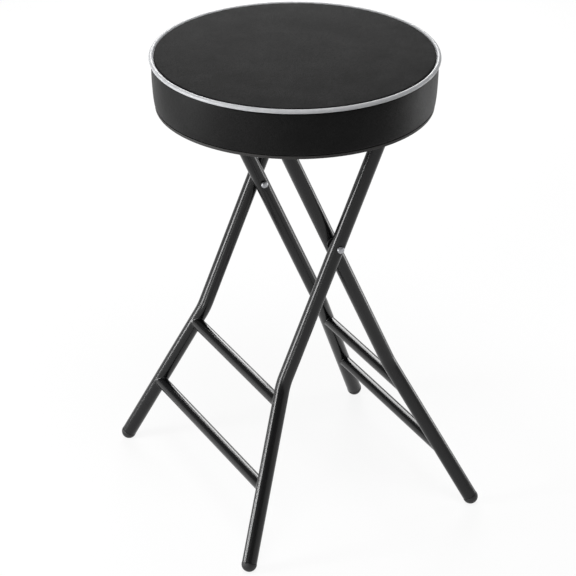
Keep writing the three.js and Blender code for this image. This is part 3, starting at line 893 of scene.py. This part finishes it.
    def top_plug(self, side: Side) -> None:
        """The plug in a leg's top end.

        Args:
            side: Which leg.
        """
        name = f"{self.label}_top_plug_{side.hand}"
        radius, head, half = self.tube_radius, self.plug_head, self.plug_head / 2
        outline = [(0, self.plug_gap), (radius, self.plug_gap)]
        outline += arc((radius - half, half), half, 0, 90, self.plug_steps) + [(0, head)]
        place = self.at(side, self.top_drop)
        self.fit(turned(name + "_cap", outline, self.sides, place, self.turn @ UP), BLACK_PLASTIC, name)


@dataclass
class Pivots(SubAssembly):
    """The rivets that join the two frames, with the spacers between their tubes."""

    body: Body = Body.OUTER
    shank: float = 3.0
    head: float = 4.6
    head_sink: float = 1.2  # how far a head reaches into the tube
    dome: float = 2.6
    dome_steps: int = 9
    rim: float = 0.5
    spacer: float = 9.0
    spacer_bore: float = 3.3
    spacer_edge: float = 0.35
    sides: int = 40

    def build(self) -> None:
        """Makes the rivet and the spacer of each side."""
        for side in Side:
            self.rivet(f"pivot_rivet_{side.hand}")
            name = f"pivot_spacer_{side.hand}"
            ring = flat_ring(name, self.spacer_bore, self.spacer, self.spacer_edge, self.sides)
            self.fit(ring, BLACK_PLASTIC, name)

    def rivet(self, name: str) -> None:
        """A rivet with a low dome at each end.

        Args:
            name: The CAD node that it stands for.
        """
        centre, half = span(name)
        face, rim = half - self.dome, half - self.dome + self.rim
        upper = [(self.shank, face - self.head_sink), (self.head, face - self.head_sink)]
        upper += [(self.head, face), (self.head, rim)]
        squash = (self.dome - self.rim) / self.head
        upper += arc((0, rim), self.head, 0, 90, self.dome_steps, squash)[1:-1] + [(0, half)]
        outline = [(r, -h) for r, h in reversed(upper)] + upper
        self.fit(turned(name + "_formed", outline, self.sides, centre, ACROSS), ZINC, name)


@dataclass
class HingeRod(SubAssembly):
    """The rod that the seat turns on, with its caps and clips."""

    body: Body = Body.OUTER
    rod: float = 3.5
    cap: float = 4.6
    cap_crown: float = 0.9
    cap_steps: int = 8
    cap_wall: float = 0.4
    cap_edge: float = 0.2
    clip: float = 6.5
    clip_edge: float = 0.3
    clearance: float = 0.3
    chamfer: float = 0.5
    sides: int = 40

    def build(self) -> None:
        """Makes the rod, and a cap and a clip for each side."""
        centre, half = span("hinge_rod")
        end = [(self.rod, half - self.chamfer), (self.rod - self.chamfer, half), (0, half)]
        outline = [(r, -h) for r, h in reversed(end)] + end
        rod = turned("hinge_rod_turned", outline, self.sides, centre, ACROSS)
        self.fit(rod, ZINC, "hinge_rod")
        bore = self.rod + self.clearance
        for side in Side:
            self.end_cap(side, bore)
            name = f"hinge_rod_clip_{side.hand}"
            self.fit(flat_ring(name, bore, self.clip, self.clip_edge, self.sides), ZINC, name)

    def end_cap(self, side: Side, bore: float) -> None:
        """A pushed-on cap.

        Args:
            side: Which end of the rod.
            bore: The radius of its hole, mm.
        """
        name = f"hinge_rod_cap_{side.hand}"
        foot, half = span(name)
        foot.y -= side.value * half
        shoulder, edge = 2 * half - self.cap_crown, self.cap_edge
        floor = shoulder - self.cap_wall
        outline = [(0, floor), (bore, floor), (bore, 0), (self.cap - edge, 0), (self.cap, edge)]
        outline += arc((0, shoulder), self.cap, 0, 90, self.cap_steps, self.cap_crown / self.cap)[:-1]
        outline.append((0, 2 * half))
        piece = turned(name + "_pressed", outline, self.sides, foot, ACROSS * side.value)
        self.fit(piece, ZINC, name)


# ---- seat


@dataclass
class Upholstery(SubAssembly):
    """The padded part of the seat: foam, the cover's top panel and side band, and the piping."""

    body: Body = Body.SEAT
    centre: Vector = field(default_factory=lambda: Vector((STOOL_X, 0, 0)))
    foot: float = 536.9  # height of the band's lower edge
    band_height: float = 59.1
    band_rows: int = 26
    band_gap: float = 0.2  # between the band and the piping
    foot_radius: float = 174.5
    taper: float = 2.8
    foot_round: float = 3.5
    turn_steps: int = 8
    hem: float = 18.0
    skin: float = 1.2  # the cover's thickness
    seam: float = 596.0  # height of the piping
    piping_radius: float = 2.7
    piping_ring: float = 177.8
    piping_steps: int = 24
    flange: float = 171.7
    flange_half: float = 0.35
    roll_radius: float = 172.3
    roll_height: float = 598.85
    roll_steps: int = 8
    rise: float = 4.15
    edge_radius: float = 174.7
    edge_foot: float = 596.65
    slack: float = 2.2  # how much lower the top starts before the foam pushes it up
    belly: float = 0.5  # how far the band swells
    pucker: float = 0.16  # depth of the gathers at the seam
    pucker_fade: float = 7.0  # how far from the seam they fade
    pucker_start: float = 1.5  # how far from it they are full
    gathers: int = 84
    second_gathers: float = 0.37  # a slower wave that makes them uneven, by its pace
    second_depth: float = 0.5
    cells: int = 44  # of the top panel, across
    rim_width: float = 0.01  # of the top panel that its seam holds
    sides: int = 288
    foam_gap: float = 0.35
    foam_corner: float = 6.0
    foam_corner_steps: int = 6
    foam_rows: int = 12
    foam_sides: int = 96
    top_pressure: float = 4.0
    band_pressure: float = 600.0
    frames: int = 20

    def build(self) -> None:
        """Makes the foam, the two panels and the piping."""
        self.top_panel()
        self.side_band()
        self.piping()
        self.foam()

    def side_radius(self, height: float) -> float:
        """The band's radius at a height, mm."""
        share = min(max((height - self.foot) / self.band_height, 0), 1)
        return self.foot_radius + self.taper * (1 - (1 - share) ** 2)

    def crown(self, radius: float) -> float:
        """The height of the top at a radius, mm."""
        return self.roll_height + self.rise * (1 - (radius / self.roll_radius) ** 2)

    def offset(self, vert: bmesh.types.BMVert | bpy.types.MeshVertex) -> Vector:
        """How far a vertex is from the seat's middle on the floor, mm."""
        return vert.co / MM - self.centre

    def puff(self, piece: Piece, held: list[int], reach: float, pressure: float) -> None:
        """Lets foam push a panel out, by a short cloth simulation.

        Args:
            piece: The panel as an open sheet, whose faces point away from the foam.
            held: The vertices that its seams hold.
            reach: How far its fullest point may move, mm.
            pressure: How hard the foam pushes.
        """
        before = [v.co.copy() for v in piece.data.vertices]
        group = piece.vertex_groups.new(name="held")
        group.add(held, 1.0, "REPLACE")
        cloth = piece.modifiers.new("cloth", "CLOTH")
        cloth.settings.vertex_group_mass = "held"
        cloth.settings.use_pressure = True
        cloth.settings.uniform_pressure_force = pressure
        cloth.settings.effector_weights.gravity = 0
        scene = bpy.context.scene
        for step in range(1, self.frames + 1):
            scene.frame_set(step)
        graph = bpy.context.evaluated_depsgraph_get()
        pushed = [v.co.copy() for v in piece.evaluated_get(graph).data.vertices]
        piece.modifiers.clear()
        piece.vertex_groups.clear()
        scene.frame_set(1)
        furthest = max((new - old).length for new, old in zip(pushed, before)) / MM
        share = min(reach / furthest, 1) if furthest > 0 else 0
        for vert, old, new in zip(piece.data.vertices, before, pushed):
            vert.co = old + (new - old) * share
        log.info("%s: furthest point moved %.3f mm, kept %.3f", piece.name, furthest, furthest * share)

    def top_panel(self) -> None:
        """The crowned top, rolled down to the piping."""
        mesh = bmesh.new()
        steps = [2 * i / self.cells - 1 for i in range(self.cells + 1)]
        # A square grid drawn out to a disc, so that the middle has no pole
        rows = [
            [
                Vector((u * sqrt(1 - v * v / 2), v * sqrt(1 - u * u / 2), 0)) * self.roll_radius
                for v in steps
            ]
            for u in steps
        ]
        for place in (place for row in rows for place in row):
            radius = place.length
            place.z = self.crown(radius) - self.slack * (1 - (radius / self.roll_radius) ** 2)
        rows = [[mesh.verts.new((place + self.centre) * MM) for place in row] for row in rows]
        for near, far in zip(rows, rows[1:]):
            for i in range(self.cells):
                mesh.faces.new((near[i], far[i], far[i + 1], near[i + 1]))
        piece = new_object("seat_top_panel", mesh, closed=False)
        inner = self.roll_radius - self.rim_width
        rim = [v.index for v in piece.data.vertices if self.offset(v).xy.length > inner]
        self.puff(piece, rim, self.slack, self.top_pressure)
        self.roll_edge(piece)
        self.thicken(piece)
        self.fit(piece, TOP_VINYL_WITH_PAINTED_SHEEN, "seat_cover_top")

    def roll_edge(self, piece: Piece) -> None:
        """Carries the top panel's rim round and down to the seam, and gathers it there a little.

        Args:
            piece: The top panel.
        """
        mesh = bmesh.new()
        mesh.from_mesh(piece.data)
        bmesh.ops.subdivide_edges(mesh, edges=mesh.edges[:], cuts=1, use_grid_fill=True)
        width, drop = self.edge_radius - self.roll_radius, self.roll_height - self.edge_foot
        for out, down in arc((0, 0), 1, 90, 0, self.roll_steps)[1:]:
            loop = [e for e in mesh.edges if e.is_boundary]
            grown = bmesh.ops.extrude_edge_only(mesh, edges=loop)["geom"]
            for vert in (g for g in grown if isinstance(g, bmesh.types.BMVert)):
                flat = self.offset(vert).xy.normalized() * (self.roll_radius + width * out)
                vert.co = (Vector((*flat, self.edge_foot + drop * down)) + self.centre) * MM
        bmesh.ops.recalc_face_normals(mesh, faces=mesh.faces)
        if sum(f.normal.z for f in mesh.faces) < 0:
            bmesh.ops.reverse_faces(mesh, faces=mesh.faces)
        for face in mesh.faces:
            face.smooth = True
        mesh.to_mesh(piece.data)
        mesh.free()
        for vert in piece.data.vertices:
            self.gather(vert, -1)

    def gather(self, vert: bpy.types.MeshVertex, way: int) -> None:
        """Draws a point in by the small gathers that the seam makes.

        Args:
            vert: The vertex.
            way: -1 on the top panel, whose gathers fade inwards, or 1 on the band, where they fade
                downwards.
        """
        offset = self.offset(vert)
        radius, angle = offset.xy.length, atan2(offset.y, offset.x)
        distance = max(self.edge_radius - radius if way < 0 else self.seam - offset.z, 0)
        fade = exp(-distance / self.pucker_fade) * min(distance / self.pucker_start, 1)
        slow = sin(self.gathers * self.second_gathers * angle + 1)
        move = self.pucker * fade * (sin(self.gathers * angle) + self.second_depth * slow) * MM
        if way < 0:
            vert.co.z += move
        else:
            vert.co.xy += offset.xy.normalized() * move

    def thicken(self, piece: Piece) -> None:
        """Gives a panel the cover's thickness, inwards.

        Args:
            piece: The panel as an open sheet.
        """
        wall = piece.modifiers.new("wall", "SOLIDIFY")
        wall.thickness = self.skin * MM
        wall.offset = -1
        wall.use_even_offset = True
        settle(piece)

    def side_band(self) -> None:
        """The band round the seat's side, turned in under the board."""
        top = self.seam - self.piping_radius - self.band_gap
        low = self.foot + self.foot_round
        radius = self.side_radius(low)
        profile = [(radius - self.hem, self.foot)]
        profile += arc((radius - self.foot_round, low), self.foot_round, -90, 0, self.turn_steps)[:-1]
        heights = [low + (top - low) * i / self.band_rows for i in range(self.band_rows + 1)]
        profile += [(self.side_radius(z), z) for z in heights]
        mesh = bmesh.new()
        join_rings(mesh, [[p + self.centre for p in circle(r, h, self.sides)] for r, h in profile])
        piece = new_object("seat_side_band", mesh, closed=False)
        first, last = self.turn_steps + 1, len(profile) - 1
        held = [v.index for v in piece.data.vertices if not first < v.index // self.sides < last]
        self.puff(piece, held, self.belly, self.band_pressure)
        for vert in piece.data.vertices:
            self.gather(vert, 1)
        self.thicken(piece)
        self.fit(piece, BAND_VINYL, "seat_cover_band")

    def piping(self) -> None:
        """The round piping with its sewn flange."""
        mouth = degrees(asin(self.flange_half / self.piping_radius))
        outline = [(self.flange, self.seam + half) for half in (self.flange_half, -self.flange_half)]
        ring = (self.piping_ring, self.seam)
        outline += arc(ring, self.piping_radius, mouth - 180, 180 - mouth, self.piping_steps)
        piece = turned("seat_piping_bead", outline, self.sides, self.centre)
        self.fit(piece, PIPING_VINYL, "seat_piping")

    def foam(self) -> None:
        """The foam pad inside the cover."""
        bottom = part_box("seat_foam")[0].z / MM
        corner, cover, rows = self.foam_corner, self.skin + self.foam_gap, self.foam_rows
        inset = cover + self.belly
        radius = self.edge_radius - inset
        top = self.crown(radius - corner) - cover
        heights = [bottom + (top - corner - bottom) * i / rows for i in range(rows + 1)]
        side = [(min(self.side_radius(z) - inset, radius), z) for z in heights]
        round_over = arc((radius - corner, top - corner), corner, 0, 90, self.foam_corner_steps)[1:-1]
        radii = [(radius - corner) * (rows - i) / rows for i in range(rows + 1)]
        crown = [(r, self.crown(r) - cover) for r in radii]
        outline = [(0, bottom), *side, *round_over, *crown]
        piece = turned("seat_foam_pad", outline, self.foam_sides, self.centre)
        self.fit(piece, CREAM_FOAM, "seat_foam")


@dataclass
class SeatBase(SubAssembly):
    """What carries the padding: the board, the base panel under it, the rails and their screws."""

    body: Body = Body.SEAT
    centre: Vector = field(default_factory=lambda: Vector((STOOL_X, 0, 0)))
    panel_radius: float = 173.7
    panel_edge: float = 1.0
    panel_edge_steps: int = 6
    screw: float = 1.9
    screw_shank: float = 14.0
    screw_length: float = 18.0
    screw_sides: int = 24
    screw_head: float = 4.0
    screw_head_height: float = 2.2
    screw_dome: float = 0.65  # share of the head's height
    dome_step: float = 12.0  # degrees from ring to ring of it
    dome_steps: int = 6
    recess_length: float = 1.2  # in head radii
    recess_width: float = 1.0
    recess_depth: float = 1.2
    seed: int = 7
    sides: int = 192

    def build(self) -> None:
        """Makes the base panel and the screws, and dresses the board and the rails."""
        self.base_panel()
        self.screws()
        self.dress(BIRCH_PLY, "seat_board")
        self.dress(RAIL_COAT, "seat_rail_left", "seat_rail_right")

    def base_panel(self) -> None:
        """The black board under the seat, with its lower edge eased."""
        low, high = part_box("seat_base_panel")
        bottom, top, radius, edge = low.z / MM, high.z / MM, self.panel_radius, self.panel_edge
        eased = arc((radius - edge, bottom + edge), edge, 270, 360, self.panel_edge_steps)
        outline = [(0, bottom), *eased, (radius, top), (0, top)]
        piece = turned("seat_base_board", outline, self.sides, self.centre)
        self.fit(piece, BLACK_HARDBOARD, "seat_base_panel")

    def one_screw(self) -> Piece:
        """A pan-head screw with a cross recess, its head's seat at the origin and its point upwards.

        Returns:
            The object, which only serves as the pattern.
        """
        head, height = self.screw_head, self.screw_head_height
        start = self.dome_step - 90
        end, squash = start + self.dome_step * self.dome_steps, self.screw_dome * height / head
        dome = arc((0, -height * (1 - self.screw_dome)), head, start, end, self.dome_steps, squash)
        shank = [(self.screw, 0), (self.screw, self.screw_shank), (0, self.screw_length)]
        outline = [(0, -height), *dome, (head, 0), *shank]
        piece = turned("screw_pattern", outline, self.screw_sides, Vector())
        size = Vector((self.recess_length * head, self.recess_width, 2 * self.recess_depth)) * MM
        for turn in (0, 90):
            cutter = bmesh.new()
            bmesh.ops.create_cube(cutter, size=1)
            spin = Matrix.Rotation(radians(turn), 4, "Z")
            place = Matrix.Translation((0, 0, -height * MM))
            cutter.transform(place @ spin @ Matrix.Diagonal((*size, 1)))
            blade = new_object("recess_cutter", cutter)
            cut = piece.modifiers.new("recess", "BOOLEAN")
            cut.object = blade
            cut.operation = "DIFFERENCE"
            settle(piece)
            bpy.data.objects.remove(blade)
        worked = bmesh.new()
        worked.from_mesh(piece.data)
        bpy.data.objects.remove(piece)
        return new_object("screw_pattern", worked)

    def screws(self) -> None:
        """The six rail screws, set at their places by a node tree, each turned at random."""
        nodes = [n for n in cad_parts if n.startswith("rail_screw_")]
        places = []
        for name in nodes:
            low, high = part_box(name)
            centre = (low + high) / 2
            centre.z = low.z + self.screw_head_height * MM
            places.append(centre)
        data = bpy.data.meshes.new("rail_screws")
        data.from_pydata(places, [], [])
        piece = add_object("rail_screws", data)
        pattern = self.one_screw()
        inputs = {"Places": "Geometry", "Screw": "Object", "Seed": "Int", "Finish": "Material"}
        tree, given = geometry_tree("screws_at_places", inputs)
        points = add_node(tree, "GeometryNodeMeshToPoints", {"Mesh": given["Places"]})
        info = add_node(tree, "GeometryNodeObjectInfo", {"Object": given["Screw"], "As Instance": True})
        turns = {0: (0, 0, 0), 1: (0, 0, tau), "Seed": given["Seed"]}
        spin = add_node(tree, "FunctionNodeRandomValue", turns, data_type="FLOAT_VECTOR")
        placed = {"Points": points, "Instance": info.outputs["Geometry"], "Rotation": spin}
        close_tree(tree, add_node(tree, "GeometryNodeInstanceOnPoints", placed), given["Finish"])
        run_tree(piece, tree, {"Screw": pattern, "Seed": self.seed, "Finish": ZINC.material()})
        piece.data.set_sharp_from_angle(angle=radians(SHARP_ANGLE))
        bpy.data.objects.remove(pattern)
        self.fit(piece, ZINC, *nodes)


# ---- studio


@dataclass(frozen=True)
class Lamp:
    """A rectangular softbox, in metres and watts."""

    name: str
    place: Triple
    aim: Triple
    width: float
    height: float
    roll: float
    power: float


@dataclass
class Studio:
    """The floor, the soft light and the camera."""

    floor_radius: float = 16000.0
    sweep: float = 4000.0  # radius of the curve that carries the paper up behind
    sweep_steps: int = 12
    floor_sides: int = 96
    floor_drop: float = 0.3
    floor_colour: str = "f5f5f5"
    floor_white: float = 0.88  # share of plain white in what the camera and reflections see of it
    sky: float = 0.15
    camera_place: Triple = (-1.48730, -3.01630, 1.94842)
    camera_azimuth: float = -26.08
    camera_drop: float = 26.45
    lens: float = 183.15
    sensor: float = 36.0
    lamps: tuple[Lamp, ...] = (
        Lamp("key", (-0.3, -0.7, 2.3), (0, 0, 0.5), 0.9, 0.9, 0, 24),
        Lamp("left_strip", (-1.5, 0.2, 0.57), (0, 0.05, 0.4), 0.36, 0.6, 0, 15),
        Lamp("left_low", (-1.5, 0.68, 0.12), (0, 0.1, 0.15), 0.4, 0.2, 0, 6),
        Lamp("right_panel", (1.0, -0.06, 0.24), (0, -0.02, 0.25), 0.26, 0.38, 0, 1.8),
        Lamp("back", (0.66, 1.7, 1.14), (0, 0, 0.25), 1.15, 0.75, 32, 25),
        Lamp("front_left", (-1.35, -0.75, 0.2), (-0.1, -0.1, 0.5), 0.3, 0.3, 0, 4),
    )

    def build(self) -> None:
        """Makes the floor, the light and the camera."""
        self.floor()
        self.world()
        for lamp in self.lamps:
            self.light(lamp)
        self.camera()
        bpy.context.scene.view_settings.view_transform = "Standard"

    def floor(self) -> None:
        """A plain pale floor, which the camera and reflections see as white where no shadow falls."""
        sweep = arc((self.floor_radius, self.sweep), self.sweep, 360, 270, self.sweep_steps)
        outline = [*sweep, (0, 0)]
        mesh = bmesh.new()
        join_rings(mesh, [circle(r, h - self.floor_drop, self.floor_sides) for r, h in outline])
        floor = new_object("studio_floor", mesh, closed=False)
        made = bpy.data.materials.new("white_studio_paper")
        tree = blank_tree(made)
        path = add_node(tree, "ShaderNodeLightPath")
        seen = path.outputs["Is Camera Ray"]
        for ray in ("Is Glossy Ray", "Is Transmission Ray"):
            seen = add_node(tree, "ShaderNodeMath", {0: seen, 1: path.outputs[ray]}, operation="MAXIMUM")
        share = add_node(tree, "ShaderNodeMath", {0: seen, 1: self.floor_white}, operation="MULTIPLY")
        paper = add_node(tree, "ShaderNodeBsdfDiffuse", {"Color": linear(self.floor_colour)})
        white = add_node(tree, "ShaderNodeEmission", {"Strength": 1.0})
        mix = add_node(tree, "ShaderNodeMixShader", {0: share, 1: paper, 2: white})
        add_node(tree, "ShaderNodeOutputMaterial", {"Surface": mix})
        floor.data.materials.append(made)

    def world(self) -> None:
        """An even sky at a plain level."""
        world = bpy.data.worlds.new("studio_sky")
        tree = blank_tree(world)
        sky = add_node(tree, "ShaderNodeBackground", {"Color": (1, 1, 1, 1), "Strength": self.sky})
        add_node(tree, "ShaderNodeOutputWorld", {"Surface": sky})
        bpy.context.scene.world = world

    def light(self, lamp: Lamp) -> None:
        """One softbox.

        Args:
            lamp: Its place, size and power.
        """
        data = bpy.data.lights.new(lamp.name, "AREA")
        data.shape = "RECTANGLE"
        data.size, data.size_y, data.energy = lamp.width, lamp.height, lamp.power
        made = add_object(lamp.name, data)
        made.location = lamp.place
        way = Vector(lamp.aim) - Vector(lamp.place)
        turn = way.to_track_quat("-Z", "Y") @ Quaternion((0, 0, 1), radians(lamp.roll))
        made.rotation_euler = turn.to_euler()
        made.visible_camera = False

    def camera(self) -> None:
        """The camera at the photograph's angle."""
        data = bpy.data.cameras.new("camera")
        data.lens, data.sensor_width = self.lens, self.sensor
        made = add_object("camera", data)
        made.location = self.camera_place
        made.rotation_euler = (pi / 2 - radians(self.camera_drop), 0, radians(self.camera_azimuth))
        bpy.context.scene.camera = made


def main() -> None:
    """Builds the stool and its studio in order."""
    logging.basicConfig(level=logging.INFO, format="%(message)s")
    Studio().build()
    CrossedFrame(
        Body.OUTER, "outer", lean=23.1, half_width=118.7, bend_drop=189.3, bar_height=520.1,
        edge=6.5, bar_radius=8.0, bar_shares={"upper": 0.108, "lower": 0.578},
    ).build()
    CrossedFrame(
        Body.INNER, "inner", lean=-24.3, half_width=97.9, bend_drop=207.3, bar_height=510.6,
        edge=6.0, bar_radius=7.5, bar_shares={"upper": 0.209, "lower": 0.659}, rest_bar_radius=5.5,
    ).build()
    Pivots().build()
    HingeRod().build()
    SeatBase().build()
    Upholstery().build()


if __name__ == "__main__":
    main()
